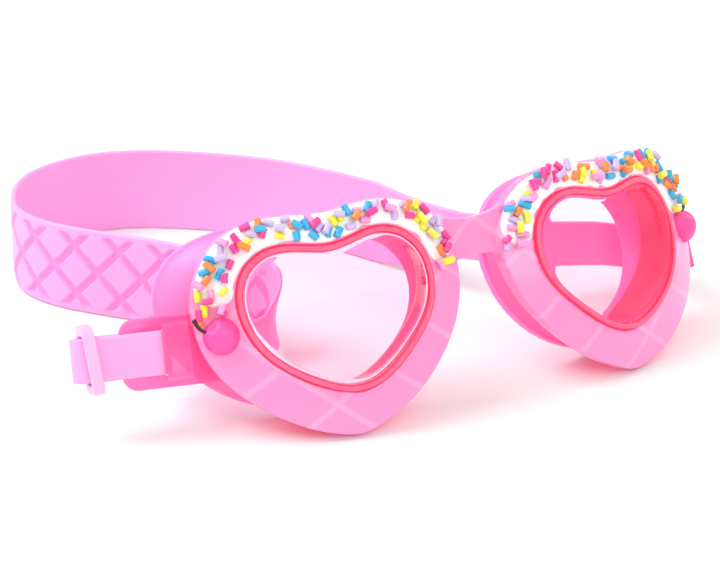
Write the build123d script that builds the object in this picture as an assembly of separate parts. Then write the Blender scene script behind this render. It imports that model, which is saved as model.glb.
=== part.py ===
from build123d import *
from math import atan2, cos, degrees, hypot, pi, radians, sin
from random import Random
import os

os.makedirs("parts", exist_ok=True)

# Swim goggles with two heart lenses, lying on their heart tips and on the strap's lower edge.
# +X is to the right of someone facing the lenses, +Y runs back to the strap, +Z is up.
# Each lens has its own frame: u outward, v up along the lens, n out of the front.

# ---- where the two lenses sit -------------------------------------------------
LENS_OFFSET = 43.0        # heart centre from the middle plane
LENS_HEIGHT = 24.6        # heart centre above the table
LENS_CANT = 12.6          # each lens turns outward, degrees
LENS_LEAN = 20.0          # each lens leans back, degrees

# ---- heart frame --------------------------------------------------------------
FACE_RADIUS_U = 71.0      # bulge of the front face, across
FACE_RADIUS_V = 116.0     # bulge of the front face, up and down
FRAME_THICKNESS = 3.2
BRIDGE_HEIGHT = 10.0      # at its middle
BRIDGE_FLARE = 1.8        # how much taller each half is at the hearts
BRIDGE_HALF_SPAN = 10.0
BRIDGE_THICKNESS = 3.2
BRIDGE_Y = 12.0
BRIDGE_Z = 42.0

# ---- lens cup, lens and gasket ------------------------------------------------
FIT_GAP = 0.15            # cup in the frame's opening
RIM_PROUD = 0.8           # cup rim in front of the frame's face
CUP_WALL = 1.9
CUP_DEPTH = 17.0          # heart centre's face to the cup's back edge
FLANGE_WIDTH = 3.0        # cup flange behind the frame
FLANGE_THICKNESS = 1.8
PANE_THICKNESS = 1.6
PANE_RECESS = 2.2
PANE_RADIUS_U = 143.0
PANE_RADIUS_V = 250.0
SEAT_GAP = 0.05
GASKET_RIM = 2.2          # thickness of the gasket's spread rim
SEAL_DEPTH = -20.6        # n of the rim's front over the heart centre
SEAL_TO_TEMPLE = -0.05    # how fast the rim runs back towards the temple
SEAL_TO_BROW = -0.13      # how fast it runs back towards the brow
SLEEVE_WALL = 1.3
SLEEVE_LENGTH = 3.6

# ---- decoration ---------------------------------------------------------------
ICING_THICKNESS = 0.9
ICING_INSET = 0.3         # from the heart's outer edge
ICING_TO_RIM = 0.5        # from the lens opening
SPRINKLE_RADIUS = 0.95
SPRINKLE_LENGTH = 2.9
SPRINKLE_TRIES = 5000
CHERRY_RADIUS = 4.8
CHERRY_RISE = 0.2         # dome centre below the face
STEM_RADIUS = 0.45

# ---- strap, clips and keepers -------------------------------------------------
STRAP_WIDTH = 26.0
STRAP_END_WIDTH = 11.5
STRAP_THICKNESS = 1.6
STRAP_LEVEL = 2.0         # height of the narrow strap's middle on the lens
CLIP_FRONT = -14.8        # front of the clip plate behind the heart's face
CLIP_THICKNESS = 2.0
CLIP_ROOT = 29.0
CLIP_END = 57.0
CLIP_HEIGHT = 18.4
CLIP_CORNER = 4.0
WINDOW_START = 40.4
WINDOW_LENGTH = 5.6
WINDOW_HEIGHT = 12.4
LOOP_RISE = 3.4           # clip's raised loop in front of the plate
LOOP_WALL = 1.1
LAYER_GAP = 0.35
FOLD_END = 70.4
HINGE_U = 37.5            # where the soft clip bends back
CLIP_SWING = {"left": 0.0, "right": 55.0}
KEEPER_AT = 64.7
KEEPER_LENGTH = 3.2
KEEPER_WALL = 1.6
KEEPER_END_WALL = 2.6
KEEPER_GAP = 0.32
KEEPER_SKEW = 6.0
REAR_STRAIGHT = 58.0      # the strap's rear layer is straight out from here
REAR_LEAVES = 55.0        # where it leaves the clip
WRAP_REACH = 3.0          # how far the strap's turn round the bar reaches into the window
ROOM_GAP = 0.4

# Points round each heart, counter-clockwise from the lower tip, (u, v).
HEART_OUTER = [
    (0.3, -24.0), (8.8, -22.3), (18.2, -18.2), (27.8, -11.4), (35.2, -2.4), (38.3, 9.0),
    (36.8, 19.5), (30.6, 28.8), (20.6, 33.4), (10.5, 33.9), (2.0, 34.0), (-8.0, 35.8),
    (-19.5, 35.0), (-28.5, 29.8), (-33.2, 20.0), (-33.0, 8.8), (-29.5, -0.6), (-23.2, -9.6),
    (-15.4, -17.0), (-7.2, -21.9),
]
HEART_OPENING = [
    (-0.2, -12.9), (7.6, -11.0), (15.0, -7.3), (21.6, -2.0), (26.2, 5.4), (27.6, 13.4),
    (25.2, 21.0), (18.6, 25.8), (10.4, 26.2), (3.2, 25.6), (-3.0, 27.0), (-9.6, 28.9),
    (-17.2, 27.8), (-23.2, 22.3), (-25.4, 14.0), (-23.8, 6.0), (-19.2, -1.0), (-12.8, -7.6),
    (-6.8, -11.6),
]
# The gasket's seal: an egg that reaches round the temple.
GASKET_OUTER = [
    (2.0, -18.0), (18.0, -16.2), (33.0, -9.5), (43.0, 2.0), (46.0, 14.0), (42.0, 24.0),
    (32.0, 30.0), (18.0, 32.5), (2.0, 33.5), (-14.0, 33.0), (-25.0, 28.0), (-30.5, 18.0),
    (-30.0, 6.0), (-24.0, -5.0), (-12.0, -14.0),
]
GASKET_OPENING = [
    (1.0, -12.0), (10.0, -9.6), (18.0, -5.0), (23.0, 3.0), (24.0, 12.0), (20.0, 20.0),
    (11.0, 24.4), (0.0, 25.6), (-11.0, 25.0), (-19.0, 20.5), (-22.4, 12.0), (-20.6, 3.0),
    (-14.0, -5.4), (-6.5, -10.4),
]
# The strap's middle line seen from above, from the left clip round the back to the right clip.
STRAP_PLAN = [
    (-76.0, 43.5), (-56.0, 47.5), (-40.0, 51.5), (-37.6, 58.5), (-43.0, 66.5), (-52.0, 80.0),
    (-61.5, 94.0), (-70.0, 104.5), (-78.0, 116.5), (-81.8, 130.0), (-77.5, 147.0),
    (-67.0, 160.5), (-54.5, 166.5), (-41.0, 167.5), (-29.0, 163.5), (-13.0, 152.5),
    (3.0, 136.5), (14.0, 118.5), (21.5, 101.0), (25.0, 83.0), (29.5, 65.5), (42.0, 52.5),
    (60.0, 44.0), (70.0, 39.5), (76.5, 38.4),
]
WIDE_FROM = 3             # the full width runs between these points of STRAP_PLAN
WIDE_TO = 18
# Height of the middle and width at the points of STRAP_PLAN outside the full width.
STRAP_NARROW = {
    0: (17.0, 11.5), 1: (10.0, 12.0), 2: (7.8, 14.0), 19: (15.0, 21.5), 20: (19.0, 14.5),
    21: (18.6, 13.6), 22: (18.0, 13.0), 23: (16.6, 12.2), 24: (15.2, 11.6),
}
CHERRY_PLACES = {"left": (31.8, 4.8), "right": (34.0, 8.4)}
STEM_LINES = {
    "left": ((33.9, 6.0, 2.6), (35.9, 6.9, 2.5), (37.2, 9.4, 2.4)),
    "right": ((33.3, 12.2, 1.0), (35.9, 12.9, 1.7), (38.0, 14.7, 1.5)),
}
ICING_LINE = {"low_u": -36.0, "low_v": 16.5, "high_u": 41.0, "high_v": 12.5}
SPRINKLE_COLOURS = ["yellow", "orange", "blue", "hot_pink", "light_pink", "lavender"]

PRISM_LOW = -45.0
PRISM_HIGH = 12.0
SIDES = {"left": -1, "right": 1}
TILTED_UP = Vector(0, sin(radians(LENS_LEAN)), cos(radians(LENS_LEAN)))


# ---- frames and outlines ------------------------------------------------------
def lens_plane():
    """The right lens's plane: X is u, Y is v, Z is n."""
    c, t = radians(LENS_CANT), radians(LENS_LEAN)
    normal = (sin(c) * cos(t), -cos(c) * cos(t), sin(t))
    return Plane(origin=(LENS_OFFSET, 0, LENS_HEIGHT), x_dir=(cos(c), sin(c), 0), z_dir=normal)


def on_side(shape, side):
    """Carry a shape from a lens's own frame to its place on the left or right."""
    placed = shape.moved(lens_plane().location)
    return placed if side == "right" else mirror(placed, Plane.YZ)


def seal_depth(u, v):
    """n of the front of the gasket's rim at (u, v)."""
    return SEAL_DEPTH + SEAL_TO_TEMPLE * u + SEAL_TO_BROW * v


def smooth_outline(points, grow=0.0, depth=0.0, on_seal=False, samples=36):
    """A closed smooth curve through points, moved outward by grow, at a depth or on the seal."""
    curve = Edge.make_spline([Vector(*p) for p in points], periodic=True)
    moved = []
    for i in range(samples):
        at = curve.position_at(i / samples)
        along = curve.tangent_at(i / samples)
        u, v = at.X + along.Y * grow, at.Y - along.X * grow
        moved.append(Vector(u, v, depth + (seal_depth(u, v) if on_seal else 0)))
    return Wire([Edge.make_spline(moved, periodic=True)])


def prism(points, grow=0.0, low=PRISM_LOW, high=PRISM_HIGH):
    face = Face(smooth_outline(points, grow, low))
    return Solid.extrude(face, Vector(0, 0, high - low))


def bulge(depth, radius_u=FACE_RADIUS_U, radius_v=FACE_RADIUS_V):
    """Everything behind a face that bulges both ways, depth in front of the heart's face."""
    half = 60.0
    reach_v = radius_v + depth
    sag = reach_v - (reach_v ** 2 - half ** 2) ** 0.5
    top, middle, bottom = (0, half, depth - sag), (0, 0, depth), (0, -half, depth - sag)
    axis_low, axis_high = (0, -half, -radius_u), (0, half, -radius_u)
    edges = [
        Edge.make_three_point_arc(Vector(*bottom), Vector(*middle), Vector(*top)),
        Edge.make_line(Vector(*top), Vector(*axis_high)),
        Edge.make_line(Vector(*axis_high), Vector(*axis_low)),
        Edge.make_line(Vector(*axis_low), Vector(*bottom)),
    ]
    return Solid.revolve(Face(Wire(edges)), 360, Axis(Vector(*axis_low), Vector(0, 1, 0)))


def face_depth(u, v):
    """n of the heart's front face at (u, v)."""
    sag_v = FACE_RADIUS_V - (FACE_RADIUS_V ** 2 - v * v) ** 0.5
    ring = FACE_RADIUS_U - sag_v
    return -FACE_RADIUS_U + (ring ** 2 - u * u) ** 0.5


def face_normal(u, v):
    step = 0.5
    slope_u = (face_depth(u + step, v) - face_depth(u - step, v)) / (2 * step)
    slope_v = (face_depth(u, v + step) - face_depth(u, v - step)) / (2 * step)
    return Vector(-slope_u, -slope_v, 1).normalized()


def lens_box(u0, u1, v0, v1, n0, n1):
    """A box in a lens's own frame."""
    return Solid.make_box(u1 - u0, v1 - v0, n1 - n0).moved(Location((u0, v0, n0)))


def rounded_slab(u0, u1, v0, v1, n0, n1, corner):
    """A box with its four edges along n rounded."""
    slab = lens_box(u0, u1, v0, v1, n0, n1)
    return slab.fillet(corner, slab.edges().filter_by(Axis.Z))


# ---- frame --------------------------------------------------------------------
def heart_ring():
    body = prism(HEART_OUTER) & bulge(0)
    return body - bulge(-FRAME_THICKNESS) - prism(HEART_OPENING)


def nose_bridge():
    tall = BRIDGE_HEIGHT / 2
    flare = tall + BRIDGE_FLARE
    span = BRIDGE_HALF_SPAN
    edges = [
        Edge.make_three_point_arc(Vector(-span, flare), Vector(0, tall), Vector(span, flare)),
        Edge.make_line(Vector(span, flare), Vector(span, -flare)),
        Edge.make_three_point_arc(Vector(span, -flare), Vector(0, -tall), Vector(-span, -flare)),
        Edge.make_line(Vector(-span, -flare), Vector(-span, flare)),
    ]
    bar = Solid.extrude(Face(Wire(edges)), Vector(0, 0, BRIDGE_THICKNESS))
    front = TILTED_UP.cross(Vector(-1, 0, 0))
    seat = Plane(origin=(0, BRIDGE_Y, BRIDGE_Z), x_dir=(1, 0, 0), z_dir=front)
    return bar.moved(Location((0, 0, -BRIDGE_THICKNESS / 2))).moved(seat.location)


def heart_frame():
    return on_side(heart_ring(), "left") + nose_bridge() + on_side(heart_ring(), "right")


# ---- lens cup, lens, gasket ---------------------------------------------------
def lens_cup():
    outside = prism(HEART_OPENING, -FIT_GAP, low=-CUP_DEPTH) & bulge(RIM_PROUD)
    flange = prism(HEART_OPENING, FLANGE_WIDTH) & bulge(-FRAME_THICKNESS - SEAT_GAP)
    flange -= bulge(-FRAME_THICKNESS - SEAT_GAP - FLANGE_THICKNESS)
    return outside + flange - prism(HEART_OPENING, -FIT_GAP - CUP_WALL)


def lens_pane():
    front = bulge(-PANE_RECESS, PANE_RADIUS_U, PANE_RADIUS_V)
    back = bulge(-PANE_RECESS - PANE_THICKNESS, PANE_RADIUS_U, PANE_RADIUS_V)
    return (prism(HEART_OPENING, -FIT_GAP - CUP_WALL - SEAT_GAP) & front) - back


def swing(side):
    """How a side's clip and everything on it turns back about the clip's bend."""
    bend = (HINGE_U, 0, CLIP_FRONT - CLIP_THICKNESS / 2)
    away = tuple(-value for value in bend)
    return Location(bend) * Location((0, 0, 0), (0, CLIP_SWING[side], 0)) * Location(away)


def clip_room(side):
    """The room that a bent clip and its strap layers take at the gasket's edge."""
    front, tail, rear = layer_depths()
    low = STRAP_LEVEL - CLIP_HEIGHT / 2 - ROOM_GAP
    high = STRAP_LEVEL + CLIP_HEIGHT / 2 + ROOM_GAP
    top = CLIP_FRONT + LOOP_RISE + ROOM_GAP
    bar = WINDOW_START + WINDOW_LENGTH
    under = STRAP_THICKNESS / 2 + ROOM_GAP
    room = lens_box(HINGE_U, FOLD_END, low, high, CLIP_FRONT - CLIP_THICKNESS - ROOM_GAP, top)
    room += lens_box(bar - WRAP_REACH, FOLD_END, low, high, tail - under, top)
    room += lens_box(REAR_LEAVES, FOLD_END, low, high, rear - under, top)
    return room.moved(swing(side))


def behind_seal(depth):
    """Everything behind the plane of the gasket's rim, moved by depth."""
    normal = (-SEAL_TO_TEMPLE, -SEAL_TO_BROW, 1)
    seat = Plane(origin=(0, 0, SEAL_DEPTH + depth), z_dir=normal)
    return lens_box(-90, 90, -90, 90, -60, 0).moved(seat.location)


def gasket(side):
    top = -CUP_DEPTH - SEAT_GAP
    skirt = Solid.make_loft([
        smooth_outline(HEART_OPENING, SLEEVE_WALL, top),
        smooth_outline(GASKET_OUTER, -GASKET_RIM / 2, on_seal=True),
    ])
    rim = (prism(GASKET_OUTER) & behind_seal(0)) - behind_seal(-GASKET_RIM)
    inside = Solid.make_loft([
        smooth_outline(HEART_OPENING, -CUP_WALL / 2, top + SEAT_GAP / 2),
        smooth_outline(GASKET_OPENING, 0, -2 * GASKET_RIM, on_seal=True),
    ])
    body = skirt + rim - inside
    sleeve = prism(HEART_OPENING, SLEEVE_WALL, low=top, high=top + SLEEVE_LENGTH)
    sleeve -= prism(HEART_OPENING, SEAT_GAP)
    low, high = STRAP_LEVEL - CLIP_HEIGHT, STRAP_LEVEL + CLIP_HEIGHT
    clip_gap = lens_box(CLIP_ROOT - 20, CLIP_END, low, high, top + SEAT_GAP / 2, 0)
    body += sleeve - clip_gap
    return body - clip_room(side) if CLIP_SWING[side] else body


# ---- decoration ---------------------------------------------------------------
def icing(side):
    band = prism(HEART_OUTER, -ICING_INSET) - prism(HEART_OPENING, ICING_TO_RIM)
    line = ICING_LINE
    rise = line["high_v"] - line["low_v"]
    turn = degrees(atan2(rise, line["high_u"] - line["low_u"]))
    below = lens_box(-60, 60, -60, 0, PRISM_LOW - 1, PRISM_HIGH + 1)
    below = below.moved(Location((0, (line["low_v"] + line["high_v"]) / 2, 0), (0, 0, turn)))
    return (band & bulge(ICING_THICKNESS)) - bulge(0) - below - cherry(side)


def cherry(side):
    u, v = CHERRY_PLACES[side]
    centre = Vector(u, v, face_depth(u, v)) - face_normal(u, v) * CHERRY_RISE
    return Solid.make_sphere(CHERRY_RADIUS, angle1=-90).moved(Location(centre)) - bulge(0)


def cherry_stem(side):
    points = []
    for u, v, proud in STEM_LINES[side]:
        points.append(Vector(u, v, face_depth(u, v)) + face_normal(u, v) * proud)
    line = Edge.make_three_point_arc(*points)
    start = Plane(origin=line @ 0, z_dir=line % 0)
    section = Face(Wire.make_circle(STEM_RADIUS, start))
    stem = Solid.sweep(section, Wire([line]))
    return stem - cherry(side)


def gap_between(a, b):
    """Distance between two flat segments, each (u0, v0, u1, v1); 0 if they cross."""
    def to_segment(pu, pv, s):
        du, dv = s[2] - s[0], s[3] - s[1]
        t = ((pu - s[0]) * du + (pv - s[1]) * dv) / (du * du + dv * dv)
        t = min(1.0, max(0.0, t))
        return hypot(pu - s[0] - t * du, pv - s[1] - t * dv)

    def turn(p, q, ru, rv):
        return (q[0] - p[0]) * (rv - p[1]) - (q[1] - p[1]) * (ru - p[0])

    a0, a1, b0, b1 = a[:2], a[2:], b[:2], b[2:]
    apart_a = turn(a0, a1, *b0) * turn(a0, a1, *b1) > 0
    apart_b = turn(b0, b1, *a0) * turn(b0, b1, *a1) > 0
    if not apart_a and not apart_b:
        return 0.0
    ends = [to_segment(*a0, b), to_segment(*a1, b), to_segment(*b0, a), to_segment(*b1, a)]
    return min(ends)


def sprinkle_segments(side):
    """Sprinkles scattered over the icing, as flat segments (u0, v0, u1, v1)."""
    pick = Random(11 if side == "left" else 23)
    outer = Edge.make_spline([Vector(*p) for p in HEART_OUTER], periodic=True)
    inner = Edge.make_spline([Vector(*p) for p in HEART_OPENING], periodic=True)
    half = SPRINKLE_LENGTH / 2
    cherry_u, cherry_v = CHERRY_PLACES[side]
    clear = 2 * SPRINKLE_RADIUS + 0.06
    stem = [point[:2] for point in STEM_LINES[side]]
    taken = [(*stem[0], *stem[1]), (*stem[1], *stem[2])]
    kept = []
    for _ in range(SPRINKLE_TRIES):
        along = pick.uniform(0.245, 0.74)
        across = pick.uniform(0.22, 0.80)
        at = inner @ along * (1 - across) + outer @ along * across
        angle = pick.uniform(0, pi)
        du, dv = half * cos(angle), half * sin(angle)
        piece = (at.X - du, at.Y - dv, at.X + du, at.Y + dv)
        near_cherry = hypot(at.X - cherry_u, at.Y - cherry_v) < CHERRY_RADIUS + half + 0.8
        if near_cherry or any(gap_between(piece, other) < clear for other in taken + kept):
            continue
        kept.append(piece)
    return kept


def sprinkle(piece):
    u0, v0, u1, v1 = piece
    u, v = (u0 + u1) / 2, (v0 + v1) / 2
    normal = face_normal(u, v)
    flat = Vector(u1 - u0, v1 - v0, 0)
    along = (flat - normal * flat.dot(normal)).normalized()
    middle = Vector(u, v, face_depth(u, v)) + normal * (ICING_THICKNESS + SPRINKLE_RADIUS + 0.12)
    start = middle - along * (SPRINKLE_LENGTH / 2)
    return Solid.make_cylinder(SPRINKLE_RADIUS, SPRINKLE_LENGTH, Plane(origin=start, z_dir=along))


def sprinkles(number, scattered):
    """Every sprinkle of one colour, on both sides."""
    group = []
    for side, pieces in scattered.items():
        for piece in pieces[number::len(SPRINKLE_COLOURS)]:
            group.append(on_side(sprinkle(piece), side))
    return Compound(group)


# ---- clip, keeper, strap ------------------------------------------------------
def layer_depths():
    """n of the middle of the strap's front, tail and rear layers."""
    half = STRAP_THICKNESS / 2
    front = CLIP_FRONT + LAYER_GAP + half
    tail = CLIP_FRONT - CLIP_THICKNESS - LAYER_GAP - half
    rear = tail - LAYER_GAP - STRAP_THICKNESS
    return front, tail, rear


def strap_clip(side):
    low, high = STRAP_LEVEL - CLIP_HEIGHT / 2, STRAP_LEVEL + CLIP_HEIGHT / 2
    back = CLIP_FRONT - CLIP_THICKNESS
    plate = rounded_slab(CLIP_ROOT, CLIP_END, low, high, back, CLIP_FRONT, CLIP_CORNER)
    root = lens_box(CLIP_ROOT - 6, CLIP_ROOT + CLIP_CORNER, low, high, back, CLIP_FRONT)
    u0, u1 = WINDOW_START, WINDOW_START + WINDOW_LENGTH
    v0, v1 = STRAP_LEVEL - WINDOW_HEIGHT / 2, STRAP_LEVEL + WINDOW_HEIGHT / 2
    top = CLIP_FRONT + LOOP_RISE
    loop = lens_box(u0 - LOOP_WALL, u1, v0 - LOOP_WALL, v1 + LOOP_WALL, CLIP_FRONT - 0.5, top)
    hollow = lens_box(u0, u1 + 1, v0, v1, CLIP_FRONT, top - LOOP_WALL)
    window = lens_box(u0, u1, v0, v1, back - 1, CLIP_FRONT + 1)
    clip = (plate + root + loop - hollow - window) - prism(HEART_OPENING, 0.01)
    frame_room = prism(HEART_OUTER, SEAT_GAP) - bulge(-FRAME_THICKNESS - SEAT_GAP)
    if not CLIP_SWING[side]:
        return clip - frame_room
    near = lens_box(0, HINGE_U, low - 1, high + 1, back - 1, top + 1)
    arm = (clip - near).moved(swing(side))
    knuckle = Solid.make_cylinder(
        CLIP_THICKNESS / 2, CLIP_HEIGHT,
        Plane(origin=(HINGE_U, low, (back + CLIP_FRONT) / 2), z_dir=(0, 1, 0)),
    )
    return (clip & near) + arm + knuckle - frame_room


def strap_keeper(side):
    front, _, rear = layer_depths()
    half_strap = STRAP_THICKNESS / 2 + KEEPER_GAP
    n0, n1 = rear - half_strap, front + half_strap
    slack = KEEPER_GAP + KEEPER_LENGTH / 2 * sin(radians(KEEPER_SKEW)) + 0.1
    tall = STRAP_END_WIDTH / 2 + slack
    half = KEEPER_LENGTH / 2
    outside = lens_box(
        -half, half, -tall - KEEPER_END_WALL, tall + KEEPER_END_WALL, n0 - KEEPER_WALL, n1 + KEEPER_WALL
    )
    outside = outside.fillet(2.4, outside.edges().filter_by(Axis.X))
    ring = outside - lens_box(-half - 1, half + 1, -tall, tall, n0, n1)
    ring = ring.moved(Location((KEEPER_AT, STRAP_LEVEL, 0), (0, 0, -KEEPER_SKEW)))
    return ring.moved(swing(side))


def clip_zone_points():
    """The folded strap end in (u, n): from the free end to where it leaves the clip."""
    front, tail, rear = layer_depths()
    bar = WINDOW_START + WINDOW_LENGTH
    turn = (front - tail) / 2
    points = [(KEEPER_AT + 1.6, tail), (58.0, tail), (51.0, tail), (bar + 0.9, tail)]
    for step in range(1, 6):
        angle = radians(-90 - 30 * step)
        middle = (front + tail) / 2
        points.append((bar + 0.9 + turn * cos(angle), middle + turn * sin(angle)))
    points += [(bar + 0.9, front), (51.0, front), (58.0, front)]
    fold = (front - rear) / 2
    centre = FOLD_END - STRAP_THICKNESS / 2 - fold
    points.append((centre, front))
    for step in range(1, 6):
        angle = radians(90 - 30 * step)
        points.append((centre + fold * cos(angle), (front + rear) / 2 + fold * sin(angle)))
    points += [(centre, rear), (REAR_STRAIGHT, rear), (REAR_LEAVES, rear)]
    return points


def strap_stations():
    """Sections along the whole strap: middle point, width direction and width."""
    plane = lens_plane()
    up = plane.y_dir
    ends = {}
    for side in SIDES:
        ends[side] = []
        for u, n in clip_zone_points():
            at = (plane.location * swing(side) * Location((u, STRAP_LEVEL, n))).position
            ends[side].append(Vector(at.X * SIDES[side], at.Y, at.Z))
    left = [(at, Vector(-up.X, up.Y, up.Z), STRAP_END_WIDTH) for at in ends["left"]]
    right = [(at, up, STRAP_END_WIDTH) for at in reversed(ends["right"])]
    upright = Vector(0, 0, 1)
    last = len(STRAP_PLAN) - 1
    middle = []
    for i, (x, y) in enumerate(STRAP_PLAN):
        share = 1.0
        if i < WIDE_FROM:
            share = i / WIDE_FROM
        elif i > WIDE_TO:
            share = (last - i) / (last - WIDE_TO)
        blend = share * share * (3 - 2 * share)
        height, width = STRAP_NARROW.get(i, (STRAP_WIDTH / 2, STRAP_WIDTH))
        mirrored = up if x > 0 else Vector(-up.X, up.Y, up.Z)
        lean = (mirrored * (1 - blend) + upright * blend).normalized()
        middle.append((Vector(x, y, height), lean, width))
    return left + middle + right


def head_strap():
    stations = strap_stations()
    wires = []
    for i, (at, up, width) in enumerate(stations):
        before = stations[max(i - 1, 0)][0]
        after = stations[min(i + 1, len(stations) - 1)][0]
        along = (after - before).normalized()
        normal = along.cross(up).normalized()
        across = normal.cross(along).normalized()
        half, thick = across * (width / 2), normal * (STRAP_THICKNESS / 2)
        corners = [at - half - thick, at + half - thick, at + half + thick, at - half + thick]
        wires.append(Wire.make_polygon(corners, close=True))
    return Solid.make_loft(wires, ruled=True)


# ---- write every piece --------------------------------------------------------
def save(shape, name):
    export_step(shape, f"parts/{name}.step")


save(heart_frame(), "heart_frame")
save(head_strap(), "head_strap")
for side in SIDES:
    save(on_side(lens_cup(), side), f"lens_cup_{side}")
    save(on_side(lens_pane(), side), f"lens_{side}")
    save(on_side(gasket(side), side), f"gasket_{side}")
    save(on_side(icing(side), side), f"icing_{side}")
    save(on_side(cherry(side), side), f"cherry_{side}")
    save(on_side(cherry_stem(side), side), f"cherry_stem_{side}")
    save(on_side(strap_clip(side), side), f"strap_clip_{side}")
    save(on_side(strap_keeper(side), side), f"strap_keeper_{side}")
scattered = {side: sprinkle_segments(side) for side in SIDES}
for number, colour in enumerate(SPRINKLE_COLOURS):
    save(sprinkles(number, scattered), f"sprinkles_{colour}")
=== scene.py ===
import bpy
import math
import random
import numpy as np
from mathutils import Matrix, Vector


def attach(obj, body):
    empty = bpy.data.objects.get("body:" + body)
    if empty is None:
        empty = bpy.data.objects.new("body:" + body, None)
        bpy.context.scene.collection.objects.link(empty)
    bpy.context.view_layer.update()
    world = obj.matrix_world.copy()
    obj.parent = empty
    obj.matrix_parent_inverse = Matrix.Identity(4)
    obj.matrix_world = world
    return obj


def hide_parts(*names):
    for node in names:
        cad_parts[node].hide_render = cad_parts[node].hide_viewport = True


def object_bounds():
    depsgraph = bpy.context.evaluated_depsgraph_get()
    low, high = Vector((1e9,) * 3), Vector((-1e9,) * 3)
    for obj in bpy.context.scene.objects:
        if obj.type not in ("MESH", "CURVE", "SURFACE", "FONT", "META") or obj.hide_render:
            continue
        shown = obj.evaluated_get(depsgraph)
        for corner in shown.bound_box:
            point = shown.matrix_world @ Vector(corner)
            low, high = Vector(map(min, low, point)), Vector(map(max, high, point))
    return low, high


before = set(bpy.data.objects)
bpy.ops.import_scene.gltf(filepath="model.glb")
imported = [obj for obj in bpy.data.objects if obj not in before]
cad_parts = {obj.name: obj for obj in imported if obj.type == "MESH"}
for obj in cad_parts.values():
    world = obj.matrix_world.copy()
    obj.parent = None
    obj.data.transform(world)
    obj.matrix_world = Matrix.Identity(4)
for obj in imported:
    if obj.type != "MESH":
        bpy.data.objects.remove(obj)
cad_low, cad_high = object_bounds()

# Shapes are worked out in millimetres, in the same frame as the CAD, and scaled when a mesh is made.
MM = 0.001

# ---- driving sizes, the same as the CAD model's ---------------------------------
LENS_OFFSET = 43.0
LENS_HEIGHT = 24.6
LENS_CANT = math.radians(12.6)
LENS_LEAN = math.radians(20.0)
FACE_RADIUS_U = 71.0
FACE_RADIUS_V = 116.0
STRAP_WIDTH = 26.0
STRAP_END_WIDTH = 11.5
STRAP_THICKNESS = 1.6
STRAP_LEVEL = 2.0
CLIP_FRONT = -14.8
CLIP_THICKNESS = 2.0
WINDOW_START = 40.4
WINDOW_LENGTH = 5.6
LAYER_GAP = 0.35
FOLD_END = 69.6
HINGE_U = 37.5
CLIP_SWING = {"left": 0.0, "right": math.radians(55.0)}
KEEPER_AT = 64.7
PANE_THICKNESS = 1.6
PANE_RECESS = 2.2            # pane's front behind the heart's face
PANE_RADIUS_U = 143
PANE_RADIUS_V = 250
CUP_OUTSIDE = -0.15          # cup's outer wall, as growth of the lens opening
CUP_INSIDE = -1.95           # cup's inner wall
CHERRY_REACH = 5.1           # no sprinkle's end is nearer to a cherry's middle
CHERRY_SIZE = 4.85
CHERRY_RISE = 4.7            # height of the dome
WAFFLE_SPACE = 10.25
WAFFLE_DEEP = 0.6
WAFFLE_LIFT = 0.25           # squares stand this proud of the plain strap
WAFFLE_EDGE = 1.6            # plain margin beside the waffle panel
GROOVE_HALF = 1.25
GROOVE_SLOPE = 0.55
PANEL_SLOPE = 0.8
STRAP_ROUND = 0.6            # rounding of the strap's two edges
STRAP_ACROSS = 72            # points across one face of the strap

HEART_OUTER = [
    (0.3, -24.0), (8.8, -22.3), (18.2, -18.2), (27.8, -11.4), (35.2, -2.4), (38.3, 9.0),
    (36.8, 19.5), (30.6, 28.8), (20.6, 33.4), (10.5, 33.9), (2.0, 34.0), (-8.0, 35.8),
    (-19.5, 35.0), (-28.5, 29.8), (-33.2, 20.0), (-33.0, 8.8), (-29.5, -0.6), (-23.2, -9.6),
    (-15.4, -17.0), (-7.2, -21.9),
]
HEART_OPENING = [
    (-0.2, -12.9), (7.6, -11.0), (15.0, -7.3), (21.6, -2.0), (26.2, 5.4), (27.6, 13.4),
    (25.2, 21.0), (18.6, 25.8), (10.4, 26.2), (3.2, 25.6), (-3.0, 27.0), (-9.6, 28.9),
    (-17.2, 27.8), (-23.2, 22.3), (-25.4, 14.0), (-23.8, 6.0), (-19.2, -1.0), (-12.8, -7.6),
    (-6.8, -11.6),
]
STRAP_PLAN = [
    (-76.0, 43.5), (-56.0, 47.5), (-40.0, 51.5), (-37.6, 58.5), (-43.0, 66.5), (-52.0, 80.0),
    (-61.5, 94.0), (-70.0, 104.5), (-78.0, 116.5), (-81.8, 130.0), (-77.5, 147.0),
    (-67.0, 160.5), (-54.5, 166.5), (-41.0, 167.5), (-29.0, 163.5), (-13.0, 152.5),
    (3.0, 136.5), (14.0, 118.5), (21.5, 101.0), (25.0, 83.0), (29.5, 65.5), (42.0, 52.5),
    (60.0, 44.0), (70.0, 39.5), (76.5, 38.4),
]
WIDE_FROM = 3
WIDE_TO = 18
STRAP_NARROW = {
    0: (17.0, 11.5), 1: (10.0, 12.0), 2: (7.8, 14.0), 19: (15.0, 21.5), 20: (19.0, 14.5),
    21: (18.6, 13.6), 22: (18.0, 13.0), 23: (16.6, 12.2), 24: (15.2, 11.6),
}
CHERRY_PLACES = {"left": (31.8, 4.8), "right": (34.0, 8.4)}
STEM_LINES = {
    "left": ((33.9, 6.0, 2.6), (35.9, 6.9, 2.5), (37.2, 9.4, 2.4)),
    "right": ((33.3, 12.2, 1.0), (35.9, 12.9, 1.7), (38.0, 14.7, 1.5)),
}
SIDES = {"left": -1.0, "right": 1.0}
HUB = np.array([0.0, 7.0])
TURN = np.linspace(0, 2 * math.pi, 289)[:-1]


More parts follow.
